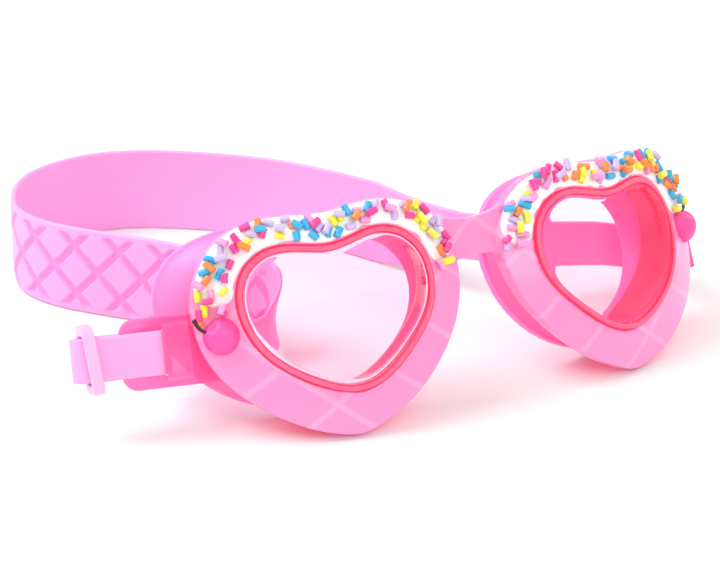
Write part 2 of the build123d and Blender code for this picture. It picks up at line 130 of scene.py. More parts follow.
# ---- outlines and the lens's own frame -------------------------------------------
def closed_curve(points, samples=1440):
    """A smooth closed curve through points: a periodic cubic spline on chord length."""
    p = np.array(points, float)
    count = len(p)
    after = np.roll(p, -1, 0) - p
    span = np.hypot(after[:, 0], after[:, 1])
    system = np.zeros((count, count))
    right = np.zeros((count, 2))
    for i in range(count):
        before = span[i - 1]
        system[i, i - 1] += before
        system[i, i] += 2 * (before + span[i])
        system[i, (i + 1) % count] += span[i]
        right[i] = 6 * (after[i] / span[i] - after[i - 1] / before)
    bend = np.linalg.solve(system, right)
    length = np.concatenate([[0], np.cumsum(span)])
    at = np.linspace(0, length[-1], samples, endpoint=False)
    k = np.clip(np.searchsorted(length, at, side="right") - 1, 0, count - 1)
    h, t = span[k][:, None], (at - length[k])[:, None]
    p0, p1 = p[k], np.roll(p, -1, 0)[k]
    m0, m1 = bend[k], np.roll(bend, -1, 0)[k]
    rest = h - t
    cubic = m0 * rest ** 3 / (6 * h) + m1 * t ** 3 / (6 * h)
    return cubic + (p0 / h - m0 * h / 6) * rest + (p1 / h - m1 * h / 6) * t


class Outline:
    """A closed outline that can be grown, and read at any angle round the lens's hub."""

    def __init__(self, points):
        self.curve = closed_curve(points)
        along = np.roll(self.curve, -1, 0) - np.roll(self.curve, 1, 0)
        along /= np.hypot(along[:, 0], along[:, 1])[:, None]
        self.outward = np.stack([along[:, 1], -along[:, 0]], 1)

    def at(self, angles, grow=0.0):
        moved = self.curve + self.outward * grow - HUB
        turn = np.unwrap(np.arctan2(moved[:, 1], moved[:, 0]))
        radius = np.hypot(moved[:, 0], moved[:, 1])
        order = np.argsort(turn % (2 * math.pi))
        turn, radius = turn[order] % (2 * math.pi), radius[order]
        r = np.interp(angles % (2 * math.pi), turn, radius, period=2 * math.pi)
        return HUB + r[:, None] * np.stack([np.cos(angles), np.sin(angles)], 1)


heart = Outline(HEART_OUTER)
opening = Outline(HEART_OPENING)


def face_depth(u, v):
    """n of the heart's front face."""
    sag = FACE_RADIUS_V - np.sqrt(FACE_RADIUS_V ** 2 - v * v)
    ring = FACE_RADIUS_U - sag
    return -FACE_RADIUS_U + np.sqrt(ring ** 2 - u * u)


def face_normal(u, v):
    step = 0.5
    slope_u = (face_depth(u + step, v) - face_depth(u - step, v)) / (2 * step)
    slope_v = (face_depth(u, v + step) - face_depth(u, v - step)) / (2 * step)
    n = np.stack([-slope_u, -slope_v, np.ones_like(slope_u)], -1)
    return n / np.linalg.norm(n, axis=-1, keepdims=True)


U_AXIS = np.array([math.cos(LENS_CANT), math.sin(LENS_CANT), 0.0])
N_AXIS = np.array([
    math.sin(LENS_CANT) * math.cos(LENS_LEAN),
    -math.cos(LENS_CANT) * math.cos(LENS_LEAN),
    math.sin(LENS_LEAN),
])
V_AXIS = np.cross(N_AXIS, U_AXIS)
LENS_CENTRE = np.array([LENS_OFFSET, 0.0, LENS_HEIGHT])


def to_world(uvn, side):
    """Points in a lens's own frame to the shared frame, in millimetres."""
    uvn = np.asarray(uvn, float)
    p = LENS_CENTRE + uvn[..., :1] * U_AXIS + uvn[..., 1:2] * V_AXIS + uvn[..., 2:3] * N_AXIS
    return p * np.array([SIDES[side], 1.0, 1.0])


def turn_world(vector, side):
    v = np.asarray(vector, float)
    p = v[..., :1] * U_AXIS + v[..., 1:2] * V_AXIS + v[..., 2:3] * N_AXIS
    return p * np.array([SIDES[side], 1.0, 1.0])


# ---- mesh making -------------------------------------------------------------------
def make_object(name, points, faces):
    """A smooth-shaded mesh object from points in millimetres."""
    mesh = bpy.data.meshes.new(name)
    mesh.from_pydata((np.asarray(points) * MM).tolist(), [], faces)
    mesh.update()
    mesh.shade_smooth()
    thing = bpy.data.objects.new(name, mesh)
    bpy.context.scene.collection.objects.link(thing)
    return thing


def grid_faces(rows, columns, close_rows, close_columns, flip=False):
    """Four-sided faces joining rows of points, each way open or closed."""
    faces = []
    for i in range(rows if close_rows else rows - 1):
        for j in range(columns if close_columns else columns - 1):
            a, b = i * columns + j, i * columns + (j + 1) % columns
            c = ((i + 1) % rows) * columns + (j + 1) % columns
            d = ((i + 1) % rows) * columns + j
            quad = (a, b, c, d)
            faces.append(quad[::-1] if flip else quad)
    return faces


def ring_mesh(name, side, rows):
    """rows: arrays of (u, v, n) round the lens, one for each point of the section."""
    uvn = np.array(rows)
    count, round_count = uvn.shape[:2]
    faces = grid_faces(count, round_count, True, True, flip=side == "left")
    flat = uvn.reshape(-1, 3)
    return make_object(name, to_world(flat, side), faces)


def finish_piece(thing, material, body, slot, *nodes):
    thing.data.materials.clear()
    thing.data.materials.append(material)
    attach(thing, body)
    if nodes:
        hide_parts(*nodes)
    return thing


# ---- materials ---------------------------------------------------------------------
def tone(code):
    """A screen colour such as FFA0D0 as linear red, green, blue."""
    parts = [int(code[i:i + 2], 16) / 255 for i in (0, 2, 4)]
    line = [c / 12.92 if c <= 0.04045 else ((c + 0.055) / 1.055) ** 2.4 for c in parts]
    return (*line, 1.0)


class Shader:
    """A node material round one Principled shader."""

    def __init__(self, name, colour, rough, **sockets):
        self.material = bpy.data.materials.new(name)
        self.material.use_nodes = True
        self.nodes = self.material.node_tree.nodes
        self.links = self.material.node_tree.links
        self.main = self.nodes["Principled BSDF"]
        self.main.inputs["Base Color"].default_value = tone(colour)
        self.main.inputs["Roughness"].default_value = rough
        for socket, value in sockets.items():
            self.main.inputs[socket.replace("_", " ")].default_value = value

    def add(self, kind, **values):
        node = self.nodes.new(kind)
        for key, value in values.items():
            if key in node.inputs:
                node.inputs[key].default_value = value
            else:
                setattr(node, key, value)
        return node

    def link(self, source, output, target, socket):
        """Join two sockets; a colour mix has its own A, B and Result among others of that name."""
        out = source.outputs[output]
        into = target.inputs[socket]
        if source.bl_idname == "ShaderNodeMix":
            out = next(o for o in source.outputs if o.name == output and o.type == "RGBA")
        if target.bl_idname == "ShaderNodeMix" and socket in "AB":
            into = colour_input(target, socket)
        self.links.new(out, into)

    def soften(self, weight, scale, radius=None):
        """Light that scatters under the surface; radius is in metres for red, green and blue."""
        self.main.inputs["Subsurface Weight"].default_value = weight
        self.main.inputs["Subsurface Scale"].default_value = scale
        if radius:
            self.main.inputs["Subsurface Radius"].default_value = radius

    def painted_glow(self, colour, strength):
        """Painted glow: emission standing in for light that soaks through a translucent piece."""
        self.main.inputs["Emission Color"].default_value = tone(colour)
        self.main.inputs["Emission Strength"].default_value = strength

    def noise(self, scale, detail=3.0):
        place = self.add("ShaderNodeTexCoord")
        texture = self.add("ShaderNodeTexNoise", Scale=scale, Detail=detail)
        self.link(place, "Object", texture, "Vector")
        return texture

    def mottle(self, colour, scale, low=0.35, high=0.75):
        """Vary the base colour softly between its own and another."""
        texture = self.noise(scale)
        spread = self.add("ShaderNodeMapRange")
        spread.inputs["From Min"].default_value = low
        spread.inputs["From Max"].default_value = high
        self.link(texture, "Fac", spread, "Value")
        blend = self.add("ShaderNodeMix", data_type="RGBA")
        set_mix_colours(blend, self.main.inputs["Base Color"].default_value, tone(colour))
        self.link(spread, "Result", blend, "Factor")
        self.link(blend, "Result", self.main, "Base Color")
        return blend

    def grain(self, scale, strength, distance=0.0002):
        texture = self.noise(scale, 4.0)
        bump = self.add("ShaderNodeBump", Strength=strength, Distance=distance)
        self.link(texture, "Fac", bump, "Height")
        self.link(bump, "Normal", self.main, "Normal")
        return bump

    def rub(self, scale, low, high):
        """Roughness that drifts a little over the surface."""
        texture = self.noise(scale)
        spread = self.add("ShaderNodeMapRange")
        spread.inputs["To Min"].default_value = low
        spread.inputs["To Max"].default_value = high
        self.link(texture, "Fac", spread, "Value")
        self.link(spread, "Result", self.main, "Roughness")


def colour_input(node, name):
    return next(i for i in node.inputs if i.name == name and i.type == "RGBA")


def set_mix_colours(node, a, b):
    colour_input(node, "A").default_value = a
    colour_input(node, "B").default_value = b


def striped_pink():
    """Pearly pink with faint pale waffle-cone lines crossing it."""
    look = Shader("frame_pink", "F98FC6", 0.24, Coat_Weight=0.3, Coat_Roughness=0.1)
    look.soften(0.15, 0.6, (0.004, 0.002, 0.003))
    place = look.add("ShaderNodeTexCoord")
    lines = []
    for turn in (52, -52):
        spin = look.add("ShaderNodeMapping")
        spin.inputs["Rotation"].default_value = (0, math.radians(turn), 0)
        look.link(place, "Object", spin, "Vector")
        wave = look.add("ShaderNodeTexWave", Scale=21.0, Distortion=0.0)
        look.link(spin, "Vector", wave, "Vector")
        crest = look.add("ShaderNodeMapRange")
        crest.inputs["From Min"].default_value = 0.965
        crest.inputs["From Max"].default_value = 0.99
        look.link(wave, "Fac", crest, "Value")
        lines.append(crest)
    both = look.add("ShaderNodeMath", operation="MAXIMUM")
    look.link(lines[0], "Result", both, 0)
    look.link(lines[1], "Result", both, 1)
    faint = look.add("ShaderNodeMath", operation="MULTIPLY")
    faint.inputs[1].default_value = 0.4
    look.link(both, "Value", faint, 0)
    blend = look.add("ShaderNodeMix", data_type="RGBA")
    set_mix_colours(blend, tone("F98FC6"), tone("FBB4D6"))
    look.link(faint, "Value", blend, "Factor")
    look.link(blend, "Result", look.main, "Base Color")
    look.rub(260, 0.16, 0.26)
    return look.material


def icing_white():
    look = Shader("icing_white", "FBFAF6", 0.22, Coat_Weight=0.4)
    look.soften(0.2, 0.001)
    look.mottle("F3EEF2", 180)
    look.grain(420, 0.25, 0.0002)
    return look.material


def cherry_pink():
    look = Shader("cherry_pink", "FB55A8", 0.42)
    look.soften(0.25, 0.002)
    look.mottle("F74A9F", 220)
    return look.material


def stem_black():
    look = Shader("stem_black", "2A1F24", 0.35)
    look.mottle("3A2C30", 900)
    look.grain(2400, 0.3, 0.0001)
    return look.material


def coral_plastic():
    """Clear coral plastic with a painted glow all over, and painted deeper-red edge shade along the bead's
    edges and groove.
    """
    look = Shader("cup_coral", "FF85A4", 0.12, Transmission_Weight=0.4, IOR=1.25)
    # Painted glow: coral emission stands in for light soaking through the cup.
    look.painted_glow("FF3F70", 0.3)
    look.soften(0.6, 1.0, (0.006, 0.002, 0.003))
    cloud = look.mottle("FF7A9C", 120)
    # Painted edge shade: where the line attribute is set, at the bead's edges and groove, the colour goes
    # to a deeper red.
    line = look.add("ShaderNodeAttribute", attribute_name="line")
    blend = look.add("ShaderNodeMix", data_type="RGBA")
    colour_input(blend, "B").default_value = tone("FF3A58")
    look.link(cloud, "Result", blend, "A")
    look.link(line, "Fac", blend, "Factor")
    look.link(blend, "Result", look.main, "Base Color")
    return look.material


def clip_plastic():
    """Clear hot-pink plastic with a painted glow all over."""
    look = Shader("clip_tint", "FF8EC2", 0.12, Transmission_Weight=0.6, IOR=1.25)
    # Painted glow: hot-pink emission stands in for light soaking through the clip.
    look.painted_glow("FF4A98", 0.18)
    look.soften(0.5, 1.0, (0.005, 0.002, 0.003))
    look.mottle("FF78B4", 160)
    return look.material


def lens_clear():
    look = Shader("lens_clear", "FFE3EE", 0.02, Transmission_Weight=1.0, IOR=1.16)
    look.mottle("FFDCEA", 40)
    return look.material


def soft_rubber(name, colour, deep, rough=0.42):
    look = Shader(name, colour, rough)
    look.soften(0.3, 0.8, (0.004, 0.0016, 0.003))
    # Painted glow: faint hot-pink emission stands in for the deeper pink the gasket and keeper rubber show
    # in shade.
    look.painted_glow("FF30A0", 0.07)
    look.mottle(deep, 90)
    look.grain(1500, 0.12, 0.0001)
    return look.material


def strap_silicone():
    look = Shader("strap_silicone", "FAA4DB", 0.44)
    look.soften(0.25, 0.7, (0.004, 0.0016, 0.003))
    # Painted shade: the waffle grooves are tinted a darker pink (F88FD2).
    groove_shade = look.add("ShaderNodeAttribute", attribute_name="groove_shade")
    blend = look.add("ShaderNodeMix", data_type="RGBA")
    set_mix_colours(blend, tone("FAA4DB"), tone("F88FD2"))
    look.link(groove_shade, "Fac", blend, "Factor")
    look.link(blend, "Result", look.main, "Base Color")
    look.grain(1300, 0.15, 0.0001)
    return look.material


def sprinkle_look(name, colour):
    look = Shader(name, colour, 0.28, Coat_Weight=0.3)
    look.soften(0.15, 0.001)
    look.grain(900, 0.15, 0.0001)
    return look.material


CORAL = coral_plastic()
CLIP_PINK = clip_plastic()
FRAME_PINK = striped_pink()
ICING = icing_white()
CHERRY = cherry_pink()
STEM = stem_black()
PANE = lens_clear()
RUBBER = soft_rubber("gasket_silicone", "FA8FD0", "F985CA")
KEEPER = soft_rubber("keeper_pink", "FBB6DC", "FAAFD8", 0.36)
STRAP = strap_silicone()
SPRINKLE_COLOURS = {
    "yellow": "EDEB3F", "orange": "FB8A3E", "blue": "2FAFE0",
    "hot_pink": "F2409A", "light_pink": "F99CCF", "lavender": "CDB6E6",
}


# ---- moulded CAD nodes: frame, clips, keepers and gaskets --------------------------
def mould(name, material, cell, passes):
    """Give a CAD node the soft edges of a moulding."""
    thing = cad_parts[name]
    net = thing.modifiers.new("net", "REMESH")
    net.mode = "VOXEL"
    net.voxel_size = cell * MM
    net.use_smooth_shade = True
    ease = thing.modifiers.new("ease", "SMOOTH")
    ease.factor = 0.5
    ease.iterations = passes
    thing.data.materials.clear()
    thing.data.materials.append(material)


FINE = 1.0
mould("heart_frame", FRAME_PINK, 0.34 * FINE, 9)
for side in SIDES:
    mould(f"strap_clip_{side}", CLIP_PINK, 0.24 * FINE, 5)
    mould(f"strap_keeper_{side}", KEEPER, 0.2 * FINE, 12)
    mould(f"gasket_{side}", RUBBER, 0.42 * FINE, 8)


# ---- lens cup and lens ---------------------------------------------------------------
def with_depth(uv, depth):
    """Stand an outline at depth in front of the heart's face."""
    return np.column_stack([uv, face_depth(uv[:, 0], uv[:, 1]) + depth])


def at_level(uv, level):
    return np.column_stack([uv, np.full(len(uv), level)])


def build_cup(side):
    """The rim bead with its two painted red lines of edge shade, the flange behind the frame and the deep
    wall.

    front: growth of the opening, height on the face and the share of painted edge shade, a deeper red.
    deep: growth and level.
    """
    wall, inside = CUP_OUTSIDE, CUP_INSIDE
    front = [
        (wall, -0.5, 0.3), (wall, 0.05, 1.0), (-0.22, 0.42, 1.0), (-0.42, 0.64, 0.35),
        (-0.66, 0.76, 0.0), (-0.9, 0.72, 0.0), (-1.04, 0.58, 0.3), (-1.18, 0.66, 0.0),
        (-1.42, 0.62, 0.1), (-1.66, 0.42, 0.9), (-1.84, 0.1, 1.0), (inside, -0.4, 0.5),
        (inside, -1.0, 0.0), (inside, -2.6, 0.0), (inside, -4.4, 0.0),
    ]
    rows = [with_depth(opening.at(TURN, grow), depth) for grow, depth, _ in front]
    lines = [red for _, _, red in front]
    deep = [
        (inside, -9.0), (inside, -12.0), (inside, -15.0), (inside, -16.6), (-1.8, -16.95),
        (-1.5, -17.05), (-0.5, -17.05), (-0.2, -16.9), (wall, -16.5), (wall, -13.0), (wall, -9.6),
    ]
    rows += [at_level(opening.at(TURN, grow), level) for grow, level in deep]
    flange = [(wall, -5.2), (2.6, -5.15), (3.0, -4.8), (3.0, -3.7), (2.6, -3.32), (wall, -3.3)]
    rows += [with_depth(opening.at(TURN, grow), depth) for grow, depth in flange]
    thing = ring_mesh(f"cup_shell_{side}", side, rows)
    marks = lines + [0.0] * (len(rows) - len(lines))
    # The line attribute marks painted edge shade: deeper red at the bead's edges and groove.
    red = thing.data.attributes.new("line", "FLOAT", "POINT")
    red.data.foreach_set("value", np.repeat(np.array(marks, np.float32), len(TURN)))
    return thing


def build_pane(side):
    """The clear lens: a shallow dome as thick as the real one."""
    edge = opening.at(TURN, -2.0) - HUB
    rows = []
    shares = [0.0, 0.15, 0.3, 0.45, 0.6, 0.72, 0.84, 0.92, 0.97, 1.0]

    def dome(uv, depth):
        u, v = uv[:, 0], uv[:, 1]
        sag = u * u / (2 * PANE_RADIUS_U) + v * v / (2 * PANE_RADIUS_V)
        return np.column_stack([uv, -PANE_RECESS - depth - sag])

    for share in shares[1:]:
        rows.append(dome(HUB + edge * share, 0.65 if share == 1.0 else 0.0))
    for share in reversed(shares[1:]):
        rows.append(dome(HUB + edge * share, 0.95 if share == 1.0 else PANE_THICKNESS))
    count = len(TURN)
    points = np.concatenate(rows)
    faces = grid_faces(len(rows), count, False, True, flip=side == "right")
    middle = np.vstack([dome(HUB[None, :], 0.0), dome(HUB[None, :], PANE_THICKNESS)])
    front, back = len(points), len(points) + 1
    last = (len(rows) - 1) * count
    for j in range(count):
        k = (j + 1) % count
        caps = [(front, j, k), (back, last + k, last + j)]
        faces += [c[::-1] for c in caps] if side == "left" else caps
    flat = np.vstack([points, middle])
    return make_object(f"lens_dome_{side}", to_world(flat, side), faces)


# ---- icing and its sprinkles ---------------------------------------------------------
ICING_FROM = math.radians(9.0)
ICING_TO = math.radians(159.5)


def build_icing(side):
    """A thick poured band over the heart's brow, with a wavy edge and rounded ends."""
    pick = random.Random(5 if side == "left" else 8)
    waves = [(pick.uniform(0.35, 0.75), k, pick.uniform(0, 6.28)) for k in (9, 14, 21, 33)]
    turn = np.linspace(ICING_FROM, ICING_TO, 240)
    far, near = heart.at(turn, -0.2), opening.at(turn, 0.35)
    across = far - near
    wide = np.linalg.norm(across, axis=1)
    across /= wide[:, None]
    ripple = sum(size * np.sin(k * turn + phase) for size, k, phase in waves) * 0.42
    inner = near + across * np.clip(ripple, 0.0, 1.6)[:, None]
    middle = (far + inner) / 2
    half = np.linalg.norm(far - inner, axis=1) / 2
    steps = np.linalg.norm(np.diff(middle, axis=0), axis=1)
    along = np.concatenate([[0], np.cumsum(steps)])
    to_end = np.minimum(along, along[-1] - along)
    reach = 5.0
    close = np.clip(1 - to_end / reach, 0, 1)
    ease = np.sqrt(np.clip(1 - close ** 2, 0.0004, 1))
    rows = []
    for s in np.sin(np.radians(np.linspace(-90, 90, 21))):
        uv = middle + across * (s * half * ease)[:, None]
        high = (1 - abs(s) ** 3.2) ** 0.5 * ease ** 0.6
        lump = 0.12 * np.sin(7 * turn + 4 * s) + 0.08 * np.sin(17 * turn - 3 * s)
        depth = face_depth(uv[:, 0], uv[:, 1]) - 0.25 + high * (1.3 + lump)
        rows.append(np.column_stack([uv, depth]))
    for s in (0.6, 0.0, -0.6):
        uv = middle + across * (s * half * ease)[:, None]
        rows.append(np.column_stack([uv, face_depth(uv[:, 0], uv[:, 1]) - 0.35]))
    uvn = np.array(rows)
    count, length = uvn.shape[:2]
    faces = grid_faces(count, length, True, False, flip=side == "right")
    start = tuple(i * length for i in range(count))
    end = tuple(i * length + length - 1 for i in range(count))
    caps = [start, end[::-1]]
    faces += [c[::-1] for c in caps] if side == "left" else caps
    flat = uvn.reshape(-1, 3)
    return make_object(f"icing_band_{side}", to_world(flat, side), faces)


def rod(length, radius, bend, around=14):
    """A short cut rod along x with slightly eased edges; points and faces."""
    half, ease = length / 2, 0.16
    centres = [-half, -half + 0.05, -half + ease, -half / 2, 0.0, half / 2, half - ease, half - 0.05, half]
    end = [radius - ease, radius - 0.05]
    radii = end + [radius] * 5 + end[::-1]
    angles = np.linspace(0, 2 * math.pi, around, endpoint=False)
    points = []
    for x, r in zip(centres, radii):
        lift = bend * (1 - (2 * x / length) ** 2)
        for a in angles:
            points.append((x, r * math.cos(a) + lift, r * math.sin(a)))
    faces = grid_faces(len(centres), around, False, True)
    faces.append(tuple(range(around))[::-1])
    last = (len(centres) - 1) * around
    faces.append(tuple(range(last, last + around)))
    return np.array(points), faces


def segment_gap(a, b):
    """Rough distance between two short rods from points along both."""
    pa = a[0] + (a[1] - a[0]) * np.linspace(0, 1, 6)[:, None]
    pb = b[0] + (b[1] - b[0]) * np.linspace(0, 1, 6)[:, None]
    return np.min(np.linalg.norm(pa[:, None] - pb[None], axis=2))


# Each layer: number, tries and the least gap between two rods of the layer.
SPRINKLE_LAYERS = ((0, 1500, 1.6), (1, 420, 2.6))
SPRINKLE_RISE = (1.55, 2.75)     # middle of a rod above the heart's face, by layer


def scatter(side):
    """Sprinkles as (middle uv, angle, length, radius, bend, layer height)."""
    pick = random.Random(31 if side == "left" else 47)
    cherry_at = np.array(CHERRY_PLACES[side])
    kept = []
    for layer, tries, gap in SPRINKLE_LAYERS:
        placed = []
        for _ in range(tries):
            turn = pick.uniform(math.radians(2.0), math.radians(160.0))
            share = min(0.94, max(0.06, pick.gauss(0.55, 0.21)))
            low, high = opening.at(np.array([turn]), 1.4)[0], heart.at(np.array([turn]), -0.8)[0]
            at = low + (high - low) * share
            long = pick.uniform(2.4, 3.5)
            angle = pick.uniform(0, math.pi)
            away = np.array([math.cos(angle), math.sin(angle)]) * (long / 2 - 0.5)
            line = (at - away, at + away)
            if np.linalg.norm(at - cherry_at) < CHERRY_REACH + long / 2 - 0.6:
                continue
            if layer and pick.random() < 0.45:
                continue
            if any(segment_gap(line, other) < gap for other in placed):
                continue
            placed.append(line)
            bend = pick.choice((0.0, 0.0, 0.0, 0.15, -0.2))
            kept.append((at, angle, long, pick.uniform(0.84, 0.96), bend, layer))
    return kept


def build_sprinkles():
    """One object for each colour, with the rods of both hearts."""
    pick = random.Random(3)
    names = list(SPRINKLE_COLOURS)
    bins = {name: ([], []) for name in names}
    for side in SIDES:
        for at, angle, long, radius, bend, layer in scatter(side):
            shape, faces = rod(long, radius, bend)
            u, v = np.array([at[0]]), np.array([at[1]])
            normal = face_normal(u, v)[0]
            flat = np.array([math.cos(angle), math.sin(angle), 0.0])
            along = flat - normal * flat.dot(normal)
            along /= np.linalg.norm(along)
            tip = pick.uniform(-0.1, 0.1) if layer == 0 else pick.uniform(-0.22, 0.22)
            along = along * math.cos(tip) + normal * math.sin(tip)
            side_way = np.cross(normal, along)
            side_way /= np.linalg.norm(side_way)
            up = np.cross(along, side_way)
            rise = SPRINKLE_RISE[layer] + pick.uniform(-0.1, 0.15)
            base = np.array([at[0], at[1], face_depth(u, v)[0]]) + normal * rise
            points = base + shape[:, :1] * along + shape[:, 1:2] * side_way + shape[:, 2:] * up
            name = pick.choices(names, weights=(5, 5, 4, 5, 4, 4))[0]
            store, stored_faces = bins[name]
            start = sum(len(p) for p in store)
            store.append(to_world(points, side))
            turned = [f[::-1] for f in faces] if side == "left" else faces
            stored_faces += [tuple(i + start for i in f) for f in turned]
    for name in names:
        store, faces = bins[name]
        thing = make_object(f"sprinkle_rods_{name}", np.concatenate(store), faces)
        thing.data.set_sharp_from_angle(angle=math.radians(50))
        look = sprinkle_look(f"sprinkle_{name}", SPRINKLE_COLOURS[name])
        finish_piece(thing, look, "goggles", f"sprinkle_{name}", f"sprinkles_{name}")


# ---- cherries and stems ----------------------------------------------------------------
def build_cherry(side):
    """A satin dome with a dimple where the stem goes in."""
    u, v = CHERRY_PLACES[side]
    base = np.array([u, v, face_depth(np.array(u), np.array(v)) - 0.4])
    normal = face_normal(np.array([u]), np.array([v]))[0]
    first = np.array([1.0, 0, 0]) - normal * normal[0]
    first /= np.linalg.norm(first)
    second = np.cross(normal, first)
    dent = math.radians(60 if side == "left" else 95)
    rows = []
    around = np.linspace(0, 2 * math.pi, 72, endpoint=False)
    levels = np.linspace(0, 90, 19)
    for level in np.radians(levels[:-1]):
        swing = np.cos(around - dent)
        lobes = 1 - 0.10 * np.exp(-((1 - swing) / 0.10)) + 0.05 * np.exp(-((1 + swing) / 0.12))
        radius = CHERRY_SIZE * math.cos(level) * (lobes if side == "right" else 1 - (1 - lobes) * 0.5)
        height = CHERRY_RISE * math.sin(level)
        pit = 0.9 * np.exp(-((radius - 3.1) ** 2 / 1.2 + (1 - swing) * 9.0))
        rows.append(base + radius[:, None] * (np.cos(around)[:, None] * first
                    + np.sin(around)[:, None] * second) + (height - pit)[:, None] * normal)
    points = np.concatenate(rows + [np.array([base + normal * CHERRY_RISE])])
    count = len(around)
    faces = grid_faces(len(rows), count, False, True)
    top, last = len(points) - 1, (len(rows) - 1) * count
    faces += [(last + j, last + (j + 1) % count, top) for j in range(count)]
    faces.append(tuple(range(count))[::-1])
    if side == "left":
        faces = [f[::-1] for f in faces]
    return make_object(f"cherry_ball_{side}", to_world(points, side), faces)


def tube_through(points, radii, around=14, steps=28):
    """A round tube on a smooth line through a few points."""
    p = np.array(points, float)
    t = np.linspace(0, 1, steps)
    a, b, c = p
    b = 2 * b - (a + c) / 2
    line = (a[None] * ((1 - t) ** 2)[:, None] + 2 * b[None] * (t * (1 - t))[:, None]
            + c[None] * (t ** 2)[:, None])
    size = np.interp(t, np.linspace(0, 1, len(radii)), radii)
    along = np.gradient(line, axis=0)
    along /= np.linalg.norm(along, axis=1)[:, None]
    first = np.cross(along, np.array([0.3, 0.2, 1.0]))
    first /= np.linalg.norm(first, axis=1)[:, None]
    second = np.cross(along, first)
    angles = np.linspace(0, 2 * math.pi, around, endpoint=False)
    cosine, sine = np.cos(angles)[None, :, None], np.sin(angles)[None, :, None]
    ring = cosine * first[:, None] + sine * second[:, None]
    points = line[:, None] + ring * size[:, None, None]
    faces = grid_faces(steps, around, False, True)
    faces.append(tuple(range(around))[::-1])
    last = (steps - 1) * around
    faces.append(tuple(range(last, last + around)))
    return points.reshape(-1, 3), faces


def build_stem(side):
    line = []
    for u, v, proud in STEM_LINES[side]:
        normal = face_normal(np.array([u]), np.array([v]))[0]
        line.append(np.array([u, v, face_depth(np.array(u), np.array(v))]) + normal * proud)
    points, faces = tube_through(line, (0.4, 0.44, 0.46, 0.5, 0.62))
    if side == "left":
        faces = [f[::-1] for f in faces]
    return make_object(f"cherry_stalk_{side}", to_world(points, side), faces)


for side in SIDES:
    finish_piece(build_cup(side), CORAL, "goggles", "cup_coral", f"lens_cup_{side}")
    finish_piece(build_pane(side), PANE, "goggles", "lens_clear", f"lens_{side}")
    finish_piece(build_icing(side), ICING, "goggles", "icing_white", f"icing_{side}")
    finish_piece(build_cherry(side), CHERRY, "goggles", "cherry_pink", f"cherry_{side}")
    finish_piece(build_stem(side), STEM, "goggles", "stem_black", f"cherry_stem_{side}")
build_sprinkles()


# ---- strap ---------------------------------------------------------------------------------
def swung(uvn, side):
    """Turn points on a clip back about the clip's bend."""
    hinge = np.array([HINGE_U, 0.0, CLIP_FRONT - CLIP_THICKNESS / 2])
    c, s = math.cos(CLIP_SWING[side]), math.sin(CLIP_SWING[side])
    turn = np.array([[c, 0, s], [0, 1, 0], [-s, 0, c]])
    return (np.asarray(uvn) - hinge) @ turn.T + hinge


def end_points():
    """The folded strap end in (u, n), from the free end to where it leaves the clip."""
    half = STRAP_THICKNESS / 2
    front = CLIP_FRONT + LAYER_GAP + half
    tail = CLIP_FRONT - CLIP_THICKNESS - LAYER_GAP - half
    rear = tail - LAYER_GAP - STRAP_THICKNESS
    bar = WINDOW_START + WINDOW_LENGTH + 0.9
    points = [(KEEPER_AT + 1.6, tail), (58.0, tail), (51.0, tail), (bar, tail)]
    middle, turn = (front + tail) / 2, (front - tail) / 2
    for angle in np.radians([-120, -150, -180, -210, -240]):
        points.append((bar + turn * math.cos(angle), middle + turn * math.sin(angle)))
    points += [(bar, front), (51.0, front), (58.0, front)]
    fold = (front - rear) / 2
    centre = FOLD_END - half - fold
    points.append((centre, front))
    for angle in np.radians([60, 30, 0, -30, -60]):
        points.append((centre + fold * math.cos(angle), (front + rear) / 2 + fold * math.sin(angle)))
    return points + [(centre, rear), (58.0, rear), (55.0, rear)]


def strap_stations():
    """Sections along the strap: middle point, width direction and width."""
    ends = np.array([(u, STRAP_LEVEL, n) for u, n in end_points()])
    up_right, up_left = turn_world((0, 1, 0), "right"), turn_world((0, 1, 0), "left")
    left = [(p, up_left, STRAP_END_WIDTH) for p in to_world(swung(ends, "left"), "left")]
    far_ends = to_world(swung(ends, "right"), "right")[::-1]
    right = [(p, up_right, STRAP_END_WIDTH) for p in far_ends]
    last = len(STRAP_PLAN) - 1
    middle = []
    for i, (x, y) in enumerate(STRAP_PLAN):
        share = 1.0
        if i < WIDE_FROM:
            share = i / WIDE_FROM
        elif i > WIDE_TO:
            share = (last - i) / (last - WIDE_TO)
        blend = share * share * (3 - 2 * share)
        height, width = STRAP_NARROW.get(i, (STRAP_WIDTH / 2, STRAP_WIDTH))
        lean = (up_right if x > 0 else up_left) * (1 - blend) + np.array([0, 0, 1.0]) * blend
        middle.append((np.array([x, y, height]), lean / np.linalg.norm(lean), width))
    return left + middle + right


def open_spline(at, values, where):
    """A natural cubic spline through values, read at where."""
    count = len(at)
    h = np.diff(at)
    system = np.eye(count)
    right = np.zeros((count, values.shape[1]))
    for i in range(1, count - 1):
        system[i, i - 1:i + 2] = h[i - 1], 2 * (h[i - 1] + h[i]), h[i]
        right[i] = 6 * ((values[i + 1] - values[i]) / h[i] - (values[i] - values[i - 1]) / h[i - 1])
    bend = np.linalg.solve(system, right)
    k = np.clip(np.searchsorted(at, where, side="right") - 1, 0, count - 2)
    t, w = (where - at[k])[:, None], h[k][:, None]
    r = w - t
    cubic = bend[k] * r ** 3 / (6 * w) + bend[k + 1] * t ** 3 / (6 * w)
    return cubic + (values[k] / w - bend[k] * w / 6) * r + (values[k + 1] / w - bend[k + 1] * w / 6) * t


